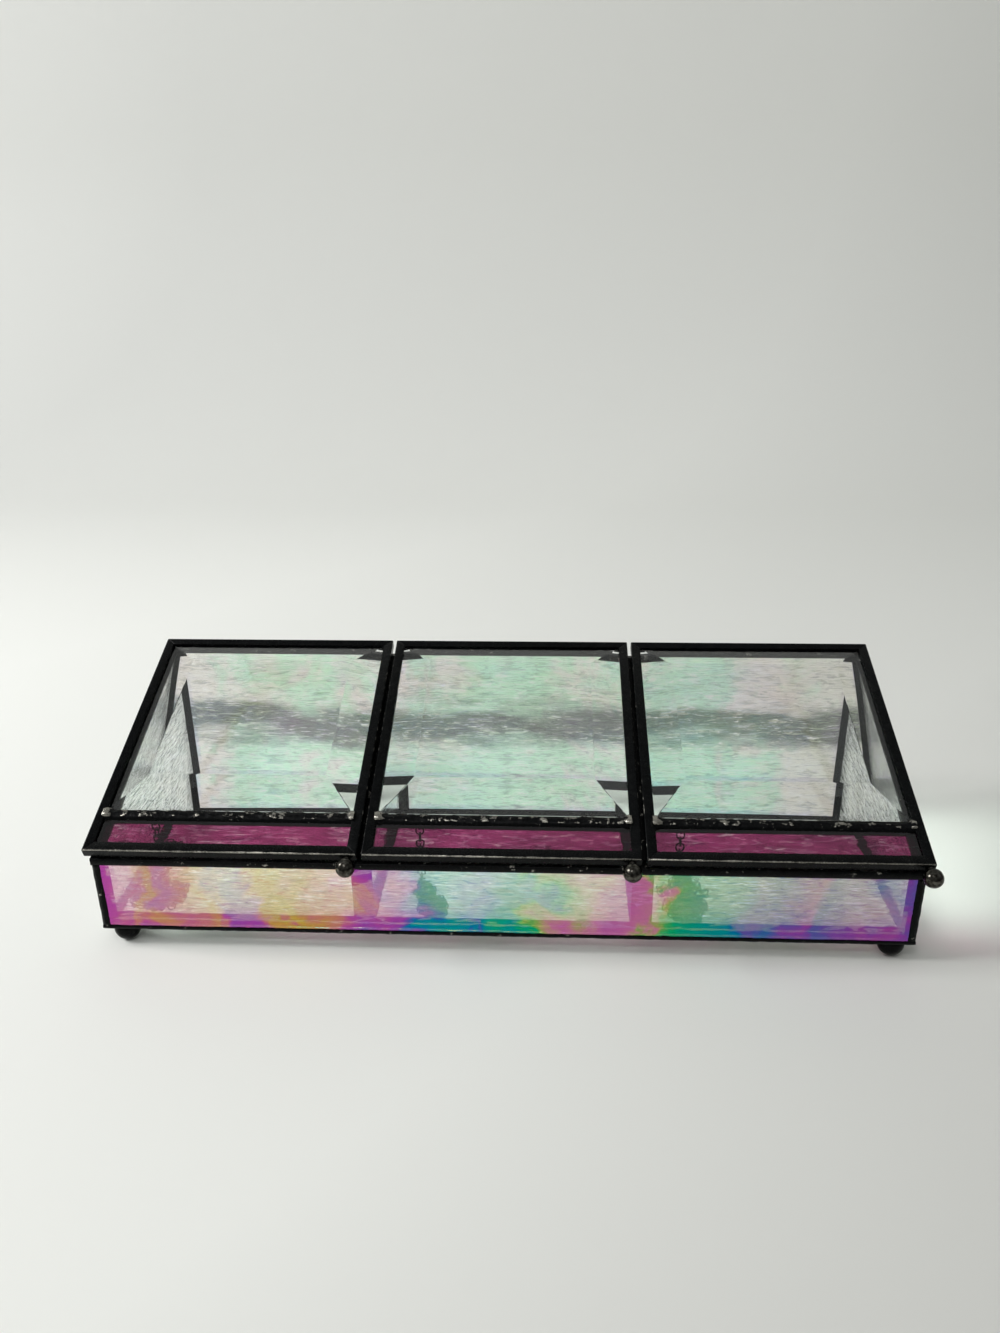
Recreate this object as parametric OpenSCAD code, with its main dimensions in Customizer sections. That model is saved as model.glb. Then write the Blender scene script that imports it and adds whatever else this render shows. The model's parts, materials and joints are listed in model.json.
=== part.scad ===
// Stained-glass casket with three compartments, sloping bevelled lids and ball feet.
// +X runs to the right, +Y to the back and +Z up. The feet stand on z = 0.

/* [Body] */
// Width over the glass of the front wall
body_w = 300.4; // [270:0.2:360]
// Depth from the front glass face to the back glass face
body_d = 107; // [90:0.5:140]
// Height of the front wall's glass above the body's underside
front_h = 28.6; // [22:0.2:40]
// Slope of the lids and of the top edge of the side walls, in degrees
slope = 19.8; // [12:0.2:24]
// Thickness of the wall, floor and divider glass
glass_t = 3; // [2:0.1:4]
// Gap between two glass edges, which foil and solder fill
joint_gap = 0.2; // [0.1:0.05:0.4]
// How far each end of the front and back glass stops short of the body's side
end_cut = 0.4; // [0.2:0.1:1]
// How far the body's middle stands behind the origin, which centres the whole outline
set_back = 2; // [0:0.5:4]

/* [Solder seams] */
// Radius of the round bead along each upright corner
corner_r = 2.1; // [1.4:0.05:2.6]
// How far a bead stands proud of the glass faces it wraps
bead_proud = 0.45; // [0.2:0.05:0.8]
// How far the bead on a top edge reaches down the glass
bead_down = 1.4; // [0.8:0.1:3]
// Height of the bead over a top edge of the glass
bead_over = 1.4; // [0.6:0.1:2.4]
// Rounding of a top bead's two edges
bead_round = 0.7; // [0.3:0.1:1]
// How far the bottom bead hangs below the body's underside
keel_down = 1.2; // [0.5:0.1:2]
// How far the bottom bead rises up the outside of the walls
keel_up = 0.8; // [0.4:0.1:3]
// How far the bottom bead reaches in under the walls
keel_in = 2.3; // [1.5:0.1:2.5]
// Legs of the fillet of solder inside each joint
fillet = 2.4; // [0.8:0.1:3]

/* [Feet] */
// Diameter of a ball foot
foot_d = 10; // [6:0.5:16]
// How far the ball is cut flat where it meets the underside
foot_sink = 1.65; // [0.3:0.05:2]
// How far the ball is dressed flat where it rests
foot_flat = 0.15; // [0.05:0.05:0.4]
// Foot centre, in from the side of the body
foot_in_x = 7; // [5:0.2:15]
// Foot centre, in from the front and back faces
foot_in_y = 5; // [4:0.2:15]

/* [Lids] */
// How far the outer lids reach past the body's sides
lid_side = 2.3; // [0.5:0.1:6]
// Gap between two lids
lid_gap = 1.6; // [0.6:0.1:4]
// How far a lid's back edge reaches past the hinge's middle
lid_over = 0.85; // [0.8:0.05:2.5]
// Gap between the top beads and a closed lid, measured upright
lid_lift = 0.6; // [0.3:0.05:1.5]
// How far a lid's lower front edge lies behind the front glass face
lid_inset = 0.2; // [-2:0.1:2]
// Height of the channel came that frames a lid
came_h = 4.2; // [3.6:0.1:6]
// Width of the came's leaves
came_w = 3.8; // [3:0.1:6]
// Thickness of the came's outer web
came_web = 1; // [0.6:0.1:1.6]
// Thickness of each leaf
came_leaf = 0.8; // [0.5:0.05:1]
// Rounding of the came's two outer edges
came_round = 0.7; // [0.2:0.1:1]
// Clearance round a glass edge held in a came
glass_play = 0.1; // [0.05:0.05:0.3]
// Clearance between a glass edge and the bottom of its channel
edge_play = 0.3; // [0.1:0.1:0.6]
// Thickness of the coloured strip, and of the bevelled pane at its rim
pane_t = 2.4; // [1.8:0.1:2.4]
// Thickness of the bevelled pane inside its bevels
bevel_t = 5.6; // [3.5:0.1:6]
// Width of the bevel along the pane's sides and back
bevel_w = 12.4; // [8:0.2:20]
// Width of the bevel along the pane's front
bevel_front = 15.6; // [8:0.2:20]

/* [Lid bar] */
// Middle of the bar between the strip and the bevelled pane, from the lid's front edge
bar_at = 16.9; // [12:0.1:30]
// Width of the bar
bar_w = 4.8; // [3.6:0.1:7]
// Height of the bar's rounded top above the glass
bar_rise = 1.3; // [0.8:0.1:2]
// Thickness of the bar's heart between the two panes
bar_heart = 0.8; // [0.5:0.1:1.4]

/* [Knobs] */
// Diameter of the ball knob
knob_d = 7; // [5:0.1:8]
// Distance of the ball's centre in front of the lid
knob_out = 4; // [3.9:0.1:6]
// Height of the ball's centre above the lid's underside
knob_up = 1.64; // [1.62:0.02:2.6]
// Diameter of the solder neck that holds the ball
knob_neck_d = 3.2; // [2:0.1:3.2]
// Ball's centre, in from the right side of the left, middle and right lid
knob_in = [3.6, 3.6, 1.8]; // [1.7:0.1:20]

/* [Hinges] */
// Outer diameter of the hinge tube
tube_d = 3; // [2.6:0.1:4]
// Length of the hinge tube
tube_l = 70; // [30:1:80]
// Gap between the tube and the bead in front of it
tube_gap = 0.15; // [0.1:0.05:0.5]
// Diameter of the hinge rod
rod_d = 1.5; // [1:0.1:1.8]
// Radial play of the rod in the tube
rod_play = 0.05; // [0.03:0.01:0.1]
// Gap between the end of the tube and the rod's leg
leg_gap = 0.8; // [0.4:0.1:3]
// Drop from the underside of the lid to the hinge axis
hinge_drop = 2.75; // [2.4:0.05:5]
// Height of the solder saddle between the tube and the back wall
saddle_h = 1.8; // [1:0.1:2.4]

/* [Chains] */
// Length of a chain link
link_l = 4; // [3.4:0.1:6]
// Width of a chain link
link_w = 3.4; // [2.8:0.1:5]
// Thickness of the link's wire
wire_d = 0.6; // [0.4:0.05:0.7]
// Play between two hooked links
link_play = 0.1; // [0.05:0.05:0.4]
// Chain's anchor, in from the left side of the left, middle and right lid
chain_in = [21.5, 19.3, 13.6]; // [12:0.1:80]
// Links that lie in the heap
heap_links = 28; // [8:1:40]
// Radius of the heap's topmost turn
heap_r = 4.6; // [4.4:0.1:9]
// Growth of the heap's radius over one turn
heap_grow = 1; // [0:0.1:3]
// Height between one turn of the heap and the next
heap_rise = 2.8; // [2.8:0.1:5]
// Tilt of the links in the heap, to one side and the other in turn
heap_tilt = 50; // [45:1:60]
// Play between two hooked links in the heap
heap_play = 0.3; // [0.3:0.05:0.6]
// Direction from the heap's middle to the point where the chain comes down
heap_turned = 120; // [90:5:180]

/* [Hidden] */
$fn = 48;
SIDES = ["left", "middle", "right"];
ENDS = ["left", "right"];
LID_PARTS = ["front_rail", "back_rail", "left_stile", "right_stile", "bevel", "strip", "bar",
             "knob", "hinge_rod"];

// Body
half_w = body_w / 2;
base_z = foot_d - foot_sink - foot_flat;
front_y = set_back - body_d / 2;
back_y = set_back + body_d / 2;
in_front_y = front_y + glass_t;
in_back_y = back_y - glass_t;
in_half_w = half_w - glass_t;
floor_z = base_z + glass_t;
lid_w = (body_w + 2 * lid_side - 2 * lid_gap) / 3;
lid_pitch = lid_w + lid_gap;

// Lids: the origin of a lid is the lower front edge of its frame, and y runs up the slope
lid_y = front_y + lid_inset;
lid_z = top_plane(lid_y) + bead_over + lid_lift;
pane_in = came_web + edge_play;
pane_n = came_leaf + glass_play;
hinge_n = -hinge_drop;
hinge_y = back_y + bead_proud + tube_gap + tube_d / 2;
hinge_s = (hinge_y - lid_y - hinge_drop * sin(slope)) / cos(slope);
lid_l = hinge_s + lid_over;
tall = front_h + body_d + lid_l;

// Chains: a link's wire follows a round-ended loop
wire_r = wire_d / 2;
link_bend_r = (link_w - wire_d) / 2;
link_side = link_l - link_w;
link_pitch = link_l - 2 * wire_d - link_play;
eye_r = link_bend_r;
eye_n = came_leaf / 2 - eye_r;
eye_y = lid_y + bar_at * cos(slope) - eye_n * sin(slope);
eye_z = lid_z + bar_at * sin(slope) + eye_n * cos(slope);
drop_z = eye_z - eye_r + wire_d + link_play - (link_l - wire_d) / 2;
heap_pitch = link_l - 2 * wire_d - heap_play;
heap_turns = heap_angles(heap_links);
heap_lie = wire_r + link_bend_r * sin(heap_tilt);
heap_high = heap_lie + heap_turns[heap_links - 1] / 360 * heap_rise;

// Links that hang: as many as have room above the heap
room = drop_z - floor_z - heap_high - heap_lie - link_l / 2 - link_play;
drop_links = 1 + floor(room / link_pitch);

// Height of the glass's sloping top edge at depth y
function top_plane(y) = base_z + front_h + (y - front_y) * tan(slope);

// Radius of the heap's path after it has turned by an angle
function heap_radius(turned) = heap_r + heap_grow * turned / 360;

// Angles of the links in the heap: each step covers one link's pitch
function heap_angles(count, turned = 0) = count == 0 ? [] :
    concat([turned], heap_angles(count - 1, turned + heap_pitch / heap_radius(turned) * 180 / PI));

module glass(tint, clear = 0.45) { color(tint, clear) children(); }
module solder() { color([0.16, 0.16, 0.17]) children(); }
module at_lid(i) {
    translate([(i - 1) * lid_pitch, lid_y, lid_z]) rotate([slope, 0, 0]) children();
}

// A prism along X, from x = -w/2 to w/2, of an outline drawn in Y and Z
module across(w) {
    rotate([90, 0, 90]) linear_extrude(w, center = true) children();
}

// ---- Glass of the body ----

module bottom_glass() {
    inset = glass_t + joint_gap;
    glass([0.8, 0.86, 0.84])
        translate([-half_w + inset, front_y + inset, base_z])
            cube([body_w - 2 * inset, body_d - 2 * inset, glass_t]);
}

module front_glass() {
    glass([0.62, 0.66, 0.72])
        translate([-half_w + end_cut, front_y, base_z]) cube([body_w - 2 * end_cut, glass_t, front_h]);
}

module back_glass() {
    glass([0.66, 0.7, 0.7])
        translate([-half_w + end_cut, in_back_y, base_z])
            cube([body_w - 2 * end_cut, glass_t, top_plane(in_back_y) - base_z]);
}

// An upright pane between the front and back walls, with the lids' slope along its top
module sloped_pane(low_z) {
    near = in_front_y + joint_gap;
    far = in_back_y - joint_gap;
    across(glass_t) polygon([[near, low_z], [far, low_z], [far, top_plane(far)], [near, top_plane(near)]]);
}

module side_glass(side) {
    glass([0.82, 0.88, 0.85]) translate([side * (half_w - glass_t / 2), 0, 0]) sloped_pane(base_z);
}

module divider(side) {
    glass([0.82, 0.88, 0.85]) translate([side * lid_pitch / 2, 0, 0]) sloped_pane(floor_z + joint_gap);
}

module body_glass() {
    bottom_glass();
    front_glass();
    back_glass();
    for (side = [-1, 1]) {
        side_glass(side);
        divider(side);
    }
}

// ---- Solder seams of the body ----

// The outline of a bead that wraps a glass edge whose top is at 0
module top_bead_outline() {
    half = glass_t / 2 + bead_proud;
    translate([-half, -bead_down]) square([2 * half, bead_down + bead_over - bead_round]);
    translate([-half + bead_round, -bead_down])
        square([2 * (half - bead_round), bead_down + bead_over]);
    for (x = [-1, 1]) translate([x * (half - bead_round), bead_over - bead_round]) circle(bead_round);
}

// A bead along the sloping top of an upright pane
module sloped_bead() {
    intersection() {
        translate([0, front_y, top_plane(front_y)]) rotate([slope - 90, 0, 0])
            mirror([0, 1, 0]) translate([0, 0, -body_d]) linear_extrude(3 * body_d) top_bead_outline();
        translate([-glass_t, front_y, 0]) cube([2 * glass_t, body_d, 2 * tall]);
    }
}

module top_edge_seam() {
    run = body_w + 2 * bead_proud;
    solder() difference() {
        union() {
            translate([0, front_y + glass_t / 2, base_z + front_h]) across(run) top_bead_outline();
            translate([0, back_y - glass_t / 2, top_plane(in_back_y)]) across(run) top_bead_outline();
            for (side = [-1, 1]) translate([side * (half_w - glass_t / 2), 0, 0]) sloped_bead();
        }
        body_glass();
    }
}

module bottom_edge_seam() {
    low = keel_down;
    solder() difference() {
        translate([0, set_back, base_z - low]) difference() {
            translate([-half_w - bead_proud, -body_d / 2 - bead_proud, 0])
                cube([body_w + 2 * bead_proud, body_d + 2 * bead_proud, low + keel_up]);
            translate([-half_w + keel_in, -body_d / 2 + keel_in, -1])
                cube([body_w - 2 * keel_in, body_d - 2 * keel_in, low + keel_up + 2]);
        }
        body_glass();
    }
}

// An upright corner: a round bead outside, solder between the two edges and a fillet inside
module corner_seam(side, back) {
    face_y = back ? back_y : front_y;
    edge_z = top_plane(back ? in_back_y : front_y);
    solder() difference() {
        translate([side * half_w, face_y, base_z]) mirror([side > 0 ? 1 : 0, 0, 0])
            mirror([0, back ? 1 : 0, 0]) linear_extrude(edge_z - bead_down - base_z) {
                translate([corner_r - bead_proud, corner_r - bead_proud]) circle(corner_r);
                square([glass_t, glass_t + joint_gap]);
                translate([glass_t, glass_t]) polygon([[0, 0], [fillet, 0], [0, fillet]]);
            }
        body_glass();
        top_edge_seam();
        bottom_edge_seam();
    }
}

// Fillets round the floor of one compartment, from wall or divider to wall or divider
module floor_seam(i) {
    left = i == 0 ? -in_half_w : (i - 1.5) * lid_pitch + glass_t / 2;
    right = i == 2 ? in_half_w : (i - 0.5) * lid_pitch - glass_t / 2;
    corner = [[0, 0], [fillet, 0], [0, fillet]];
    solder() translate([(left + right) / 2, 0, floor_z]) difference() {
        union() {
            translate([0, in_front_y, 0]) across(right - left) polygon(corner);
            translate([0, in_back_y, 0]) mirror([0, 1, 0]) across(right - left) polygon(corner);
            for (side = [-1, 1]) translate([side * (right - left) / 2, set_back, 0])
                mirror([side > 0 ? 1 : 0, 0, 0]) rotate([90, 0, 0])
                    linear_extrude(body_d - 2 * glass_t, center = true) polygon(corner);
        }
        translate([-(left + right) / 2, 0, -floor_z]) upright_seams();
    }
}

// The upright fillets and beads that a floor fillet stops against
module upright_seams() {
    for (side = [-1, 1]) {
        corner_seam(side, false);
        corner_seam(side, true);
        divider_seam(side);
    }
}

// The bead on a divider's top edge with the fillets at its two upright joints
module divider_seam(side) {
    reach = glass_t / 2 + fillet;
    solder() translate([side * lid_pitch / 2, 0, 0]) difference() {
        union() {
            intersection() {
                sloped_bead();
                translate([-glass_t, in_front_y + bead_proud, 0])
                    cube([2 * glass_t, body_d - 2 * (glass_t + bead_proud), 2 * tall]);
            }
            for (back = [false, true])
                translate([0, back ? in_back_y : in_front_y, floor_z]) mirror([0, back ? 1 : 0, 0])
                    linear_extrude(top_plane(back ? in_back_y : in_front_y) - floor_z)
                        polygon([[-reach, 0], [reach, 0], [glass_t / 2, fillet], [-glass_t / 2, fillet]]);
        }
        sloped_pane(floor_z + joint_gap);
        translate([-side * lid_pitch / 2, 0, 0]) top_edge_seam();
    }
}

// ---- Feet ----

module foot(side, back) {
    y = back ? back_y - foot_in_y : front_y + foot_in_y;
    solder() difference() {
        translate([side * (half_w - foot_in_x), y, foot_d / 2 - foot_flat]) sphere(foot_d / 2);
        translate([-half_w, front_y, base_z]) cube([body_w, body_d, foot_d]);
        translate([-half_w, front_y, -foot_d]) cube([body_w, body_d, foot_d]);
        bottom_edge_seam();
    }
}

// ---- Lids ----

// The outside of a channel came, with its two outer edges rounded
module came_outline() {
    translate([came_round, 0]) square([came_w - came_round, came_h]);
    translate([0, came_round]) square([came_round, came_h - 2 * came_round]);
    for (y = [came_round, came_h - came_round]) translate([came_round, y]) circle(came_round);
}

// A channel came, its web along x from the origin and its open side towards +y, cut at 45 degrees at each end
module came(run) {
    intersection() {
        across(run) difference() {
            came_outline();
            translate([came_web, came_leaf]) square([came_w, came_h - 2 * came_leaf]);
        }
        linear_extrude(came_h)
            polygon([[-run / 2, 0], [run / 2, 0], [run / 2 - came_w, came_w], [came_w - run / 2, came_w]]);
    }
}

module front_rail(i) { solder() at_lid(i) came(lid_w); }
module back_rail(i) { solder() at_lid(i) translate([0, lid_l, 0]) mirror([0, 1, 0]) came(lid_w); }
module stile(i, side) {
    solder() at_lid(i) translate([side * lid_w / 2, lid_l / 2, 0]) rotate(side * 90) came(lid_l);
}

// The clear pane: flat below, with a flat rim in the came and bevels that rise to its thick middle
module bevel(i) {
    near = bar_at + bar_heart / 2 + glass_play;
    far = lid_l - pane_in;
    half = lid_w / 2 - pane_in;
    rim = came_w - pane_in;
    front_rim = bar_w / 2 - bar_heart / 2 - glass_play;
    glass([0.9, 0.95, 0.93], 0.35) at_lid(i) translate([0, 0, pane_n]) intersection() {
        across(2 * half) polygon([
            [near, 0], [far, 0], [far, pane_t], [far - rim, pane_t], [far - rim - bevel_w, bevel_t],
            [near + front_rim + bevel_front, bevel_t], [near + front_rim, pane_t], [near, pane_t]
        ]);
        translate([0, far, 0]) rotate([90, 0, 0]) linear_extrude(far - near) polygon([
            [-half, 0], [half, 0], [half, pane_t], [half - rim, pane_t], [half - rim - bevel_w, bevel_t],
            [rim + bevel_w - half, bevel_t], [rim - half, pane_t], [-half, pane_t]
        ]);
    }
}

// The coloured strip along the lid's front
module strip(i) {
    glass([0.55, 0.2, 0.42], 0.6) at_lid(i) translate([-lid_w / 2 + pane_in, pane_in, pane_n])
        cube([lid_w - 2 * pane_in, bar_at - bar_heart / 2 - glass_play - pane_in, pane_t]);
}

// The bar between strip and pane: two leaves on a heart, with a rounded top and the chain's eye below
module bar(i) {
    run = lid_w - 2 * came_w;
    top = pane_n + pane_t + glass_play;
    round_r = (bar_w * bar_w / 4 + bar_rise * bar_rise) / (2 * bar_rise);
    solder() at_lid(i) union() {
        translate([0, bar_at, 0]) across(run) {
            translate([-bar_w / 2, 0]) square([bar_w, came_leaf]);
            translate([-bar_heart / 2, 0]) square([bar_heart, top + bar_rise / 2]);
            intersection() {
                translate([0, top + bar_rise - round_r]) circle(round_r);
                translate([-bar_w / 2, top]) square([bar_w, 2 * bar_rise]);
            }
        }
        translate([chain_in[i] - lid_w / 2, bar_at, eye_n]) rotate([0, 90, 0])
            rotate_extrude() translate([eye_r, 0]) circle(wire_r);
    }
}

module knob(i) {
    solder() at_lid(i) translate([lid_w / 2 - knob_in[i], -knob_out, knob_up]) {
        sphere(knob_d / 2);
        rotate([-90, 0, 0]) cylinder(knob_out, d = knob_neck_d);
    }
}

// ---- Hinges ----

module hinge_tube(i) {
    solder() difference() {
        union() {
            translate([(i - 1) * lid_pitch, hinge_y, hinge_z()]) rotate([0, 90, 0])
                cylinder(tube_l, d = tube_d, center = true);
            translate([(i - 1) * lid_pitch - tube_l / 2, back_y + bead_proud, hinge_z() - saddle_h / 2])
                cube([tube_l, hinge_y - back_y - bead_proud, saddle_h]);
        }
        translate([(i - 1) * lid_pitch, hinge_y, hinge_z()]) rotate([0, 90, 0])
            cylinder(2 * tube_l, r = rod_d / 2 + rod_play, center = true);
    }
}

function hinge_z() = lid_z + hinge_s * sin(slope) + hinge_n * cos(slope);

// The rod through the tube, with a leg at each end soldered up under the lid's back rail
module hinge_rod(i) {
    reach = tube_l / 2 + leg_gap + rod_d / 2;
    solder() at_lid(i) translate([0, hinge_s, hinge_n]) {
        rotate([0, 90, 0]) cylinder(2 * reach, d = rod_d, center = true);
        for (side = [-1, 1]) translate([side * reach, 0, 0]) {
            sphere(rod_d / 2);
            cylinder(hinge_drop, d = rod_d);
        }
    }
}

// ---- Chains ----

// One link, lying in x and z with its length along z
module link() {
    rotate([90, 0, 0]) {
        for (end = [0, 180]) rotate(end) translate([0, link_side / 2])
            rotate_extrude(angle = 180) translate([link_bend_r, 0]) circle(wire_r);
        for (side = [-1, 1]) translate([side * link_bend_r, 0]) rotate([90, 0, 0])
            cylinder(link_side, r = wire_r, center = true);
    }
}

function chain_x(i) = (i - 1) * lid_pitch - lid_w / 2 + chain_in[i];

module chain_drop(i) {
    solder() for (n = [0 : drop_links - 1])
        translate([chain_x(i), eye_y, drop_z - n * link_pitch]) rotate(n % 2 * 90) link();
}

// The rest of the chain, which has come down turn on turn and spread as it settled
module chain_heap(i) {
    last = heap_turns[heap_links - 1];
    solder() translate([chain_x(i), eye_y, floor_z + heap_lie]) rotate(heap_turned)
        translate([-heap_r, 0, 0])
            for (n = [0 : heap_links - 1])
                rotate(heap_turns[n])
                    translate([heap_radius(heap_turns[n]), 0, (last - heap_turns[n]) / 360 * heap_rise])
                        rotate([0, n % 2 == 0 ? heap_tilt : -heap_tilt, 0]) rotate([90, 0, 0]) link();
}

bottom_glass();
front_glass();
back_glass();
top_edge_seam();
bottom_edge_seam();
for (e = [0, 1]) {
    side = 2 * e - 1;
    side_glass(side);
    divider(side);
    divider_seam(side);
    corner_seam(side, false);
    corner_seam(side, true);
    foot(side, false);
    foot(side, true);
}
for (i = [0 : 2]) {
    floor_seam(i);
    hinge_tube(i);
    hinge_rod(i);
    chain_drop(i);
    chain_heap(i);
    front_rail(i);
    back_rail(i);
    stile(i, -1);
    stile(i, 1);
    bevel(i);
    strip(i);
    bar(i);
    knob(i);
}
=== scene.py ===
import json
import math

import bmesh
import bpy
from mathutils import Matrix, Vector, noise
from mathutils.bvhtree import BVHTree
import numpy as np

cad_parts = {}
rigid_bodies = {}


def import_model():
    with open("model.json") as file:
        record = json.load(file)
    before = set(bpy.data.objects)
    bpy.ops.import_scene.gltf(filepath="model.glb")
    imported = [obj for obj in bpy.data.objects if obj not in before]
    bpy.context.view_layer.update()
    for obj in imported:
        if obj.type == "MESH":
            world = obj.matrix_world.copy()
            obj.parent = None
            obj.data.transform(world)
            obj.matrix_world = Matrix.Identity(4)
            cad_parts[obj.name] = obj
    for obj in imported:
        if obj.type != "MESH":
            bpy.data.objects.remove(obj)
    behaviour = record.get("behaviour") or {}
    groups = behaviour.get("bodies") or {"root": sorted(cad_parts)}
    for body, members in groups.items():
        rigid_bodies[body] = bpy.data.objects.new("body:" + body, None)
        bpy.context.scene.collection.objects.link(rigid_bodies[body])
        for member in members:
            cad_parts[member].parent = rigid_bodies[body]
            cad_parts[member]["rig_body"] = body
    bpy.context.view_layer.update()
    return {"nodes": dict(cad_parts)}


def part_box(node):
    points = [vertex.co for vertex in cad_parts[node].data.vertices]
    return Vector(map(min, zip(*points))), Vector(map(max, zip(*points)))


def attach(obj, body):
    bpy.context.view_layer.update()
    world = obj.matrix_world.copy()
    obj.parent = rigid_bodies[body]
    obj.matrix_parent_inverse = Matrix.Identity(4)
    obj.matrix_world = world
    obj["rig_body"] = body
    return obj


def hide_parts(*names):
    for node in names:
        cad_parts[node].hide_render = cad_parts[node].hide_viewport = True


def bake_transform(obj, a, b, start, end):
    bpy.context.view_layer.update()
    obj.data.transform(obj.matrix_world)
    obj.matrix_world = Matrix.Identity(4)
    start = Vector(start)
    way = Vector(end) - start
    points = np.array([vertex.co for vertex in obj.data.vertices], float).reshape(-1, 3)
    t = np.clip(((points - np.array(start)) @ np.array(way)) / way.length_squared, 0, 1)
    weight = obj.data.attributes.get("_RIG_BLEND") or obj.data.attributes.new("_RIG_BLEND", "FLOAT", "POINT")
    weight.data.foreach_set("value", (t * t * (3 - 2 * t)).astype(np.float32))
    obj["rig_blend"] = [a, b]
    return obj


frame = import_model()
scene = bpy.context.scene
MM = 0.001
HAIR = 0.001 * MM

# ---- Camera ----
# It stands in front of the box and a little to its right, and looks down on the lids.

PHOTO_TALL = 1333
FOCAL_PIXELS = 1038
SENSOR_TALL = 36
CAMERA_AT = Vector((0.0168, -0.3644, 0.2510))
YAW, PITCH, ROLL = (math.radians(a) for a in (-2.98, 23.3, -0.69))

ahead = Vector((math.sin(YAW) * math.cos(PITCH), math.cos(YAW) * math.cos(PITCH), -math.sin(PITCH)))
level = ahead.cross(Vector((0, 0, 1))).normalized()
upright = level.cross(ahead)
to_right = math.cos(ROLL) * level + math.sin(ROLL) * upright
to_top = math.cos(ROLL) * upright - math.sin(ROLL) * level
camera = bpy.data.objects.new("camera", bpy.data.cameras.new("camera"))
camera.data.sensor_width = SENSOR_TALL
camera.data.lens = SENSOR_TALL * FOCAL_PIXELS / PHOTO_TALL
camera.data.clip_start = 0.01
turned = Matrix((to_right, to_top, -ahead)).transposed()
camera.matrix_world = Matrix.Translation(CAMERA_AT) @ turned.to_4x4()
scene.collection.objects.link(camera)
scene.camera = camera

# ---- Wall glass with drawn ripples ----
# The front and back walls are rolled glass 3 mm thick, with long level ripples on both faces and
# an iridescent coat fired on. Their edges are cut square.


def node_shape(node):
    """A mesh of a CAD node's shape, with its loose triangles joined and its flat faces whole."""
    bm = bmesh.new()
    bm.from_mesh(frame["nodes"][node].data)
    bmesh.ops.remove_doubles(bm, verts=bm.verts, dist=HAIR)
    bmesh.ops.dissolve_limit(bm, angle_limit=math.radians(0.5), verts=bm.verts, edges=bm.edges)
    return bm


def furthest(part, axis):
    """How far a vertex, edge or face reaches along an axis."""
    return max(v.co[axis] for v in getattr(part, "verts", [part]))


def cut_across(bm, axis, step):
    """Cuts the mesh into slices of about this step along an axis."""
    places = [v.co[axis] for v in bm.verts]
    low, high = min(places), max(places)
    count = max(1, round((high - low) / step))
    normal = Vector((0, 0, 0))
    normal[axis] = 1
    uncut = bm.verts[:] + bm.edges[:] + bm.faces[:]
    for n in range(1, count):
        place = low + (high - low) * n / count
        cut = bmesh.ops.bisect_plane(bm, geom=uncut, plane_co=normal * place, plane_no=normal)
        uncut = [g for g in cut["geom"] if furthest(g, axis) > place + HAIR]


def finished(bm, name, material):
    """An object of the mesh, with smooth faces and one material."""
    for f in bm.faces:
        f.smooth = True
    mesh = bpy.data.meshes.new(name)
    bm.to_mesh(mesh)
    bm.free()
    mesh.materials.append(material)
    obj = bpy.data.objects.new(name, mesh)
    scene.collection.objects.link(obj)
    return obj


def add_piece(bm, name, body, material, nodes=(), crease=35):
    """Makes the mesh a piece that rides on a body and stands for CAD nodes. Edges that turn by crease degrees
    or more look sharp."""
    for e in bm.edges:
        e.smooth = e.calc_face_angle(0) < math.radians(crease)
    obj = finished(bm, name, material)
    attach(obj, body)
    if nodes:
        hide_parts(*nodes)


def body_of(node):
    """The body that a CAD node rides on."""
    return frame["nodes"][node]["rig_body"]


def rim_of(bm):
    """The vertices along the edges of a pane, which stay where they are."""
    return {v for e in bm.edges if e.calc_face_angle(0) > 0.5 for v in e.verts}


def rippled_pane(node, thin, steps, ripple, long, short, seed):
    """A pane with ridged ripples on both faces. thin is the axis through it, steps gives each face axis its
    grid, ripple is the height of the waves, and long and short their sizes along the two face axes. These
    sizes are in millimetres."""
    bm = node_shape(node)
    for axis, step in steps.items():
        cut_across(bm, axis, step * MM)
    rim = rim_of(bm)
    middle = sum(v.co[thin] for v in bm.verts) / len(bm.verts)
    along, up = [a for a in (0, 1, 2) if a != thin]
    for v in bm.verts:
        if v in rim:
            continue
        side = 1 if v.co[thin] > middle else -1
        a, u = v.co[along] / (long * MM), v.co[up] / (short * MM)
        drift = noise.noise(Vector((a * 0.5, u * 0.25, seed + side)))
        ridge = 0.25 - abs(noise.noise(Vector((a + drift, u + 1.6 * drift, seed + 7 * side))))
        wide = noise.noise(Vector((a * 0.35, u * 0.22, seed + 19 * side)))
        v.co[thin] += side * ripple * MM * (ridge + 0.8 * wide)
    return bm


def add_node(tree, kind, **settings):
    """A new node with its properties set."""
    made = tree.nodes.new(kind)
    for key, value in settings.items():
        setattr(made, key, value)
    return made


def feed(tree, target, source):
    """Links a socket to an input, or sets the input to a value."""
    if isinstance(source, bpy.types.NodeSocket):
        tree.links.new(source, target)
    else:
        target.default_value = source


def calculate(tree, operation, *values, clamp=False):
    """What a Math node makes of sockets or values."""
    node = add_node(tree, "ShaderNodeMath", operation=operation, use_clamp=clamp)
    for target, value in zip(node.inputs, values):
        feed(tree, target, value)
    return node.outputs[0]


def spread(tree, value, start, stop, to_start=0, to_stop=1, **settings):
    """A value's range from start to stop, laid over another range."""
    node = add_node(tree, "ShaderNodeMapRange", **settings)
    for key, number in (("From Min", start), ("From Max", stop), ("To Min", to_start), ("To Max", to_stop)):
        node.inputs[key].default_value = number
    tree.links.new(value, node.inputs["Value"])
    return node.outputs["Result"]


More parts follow.
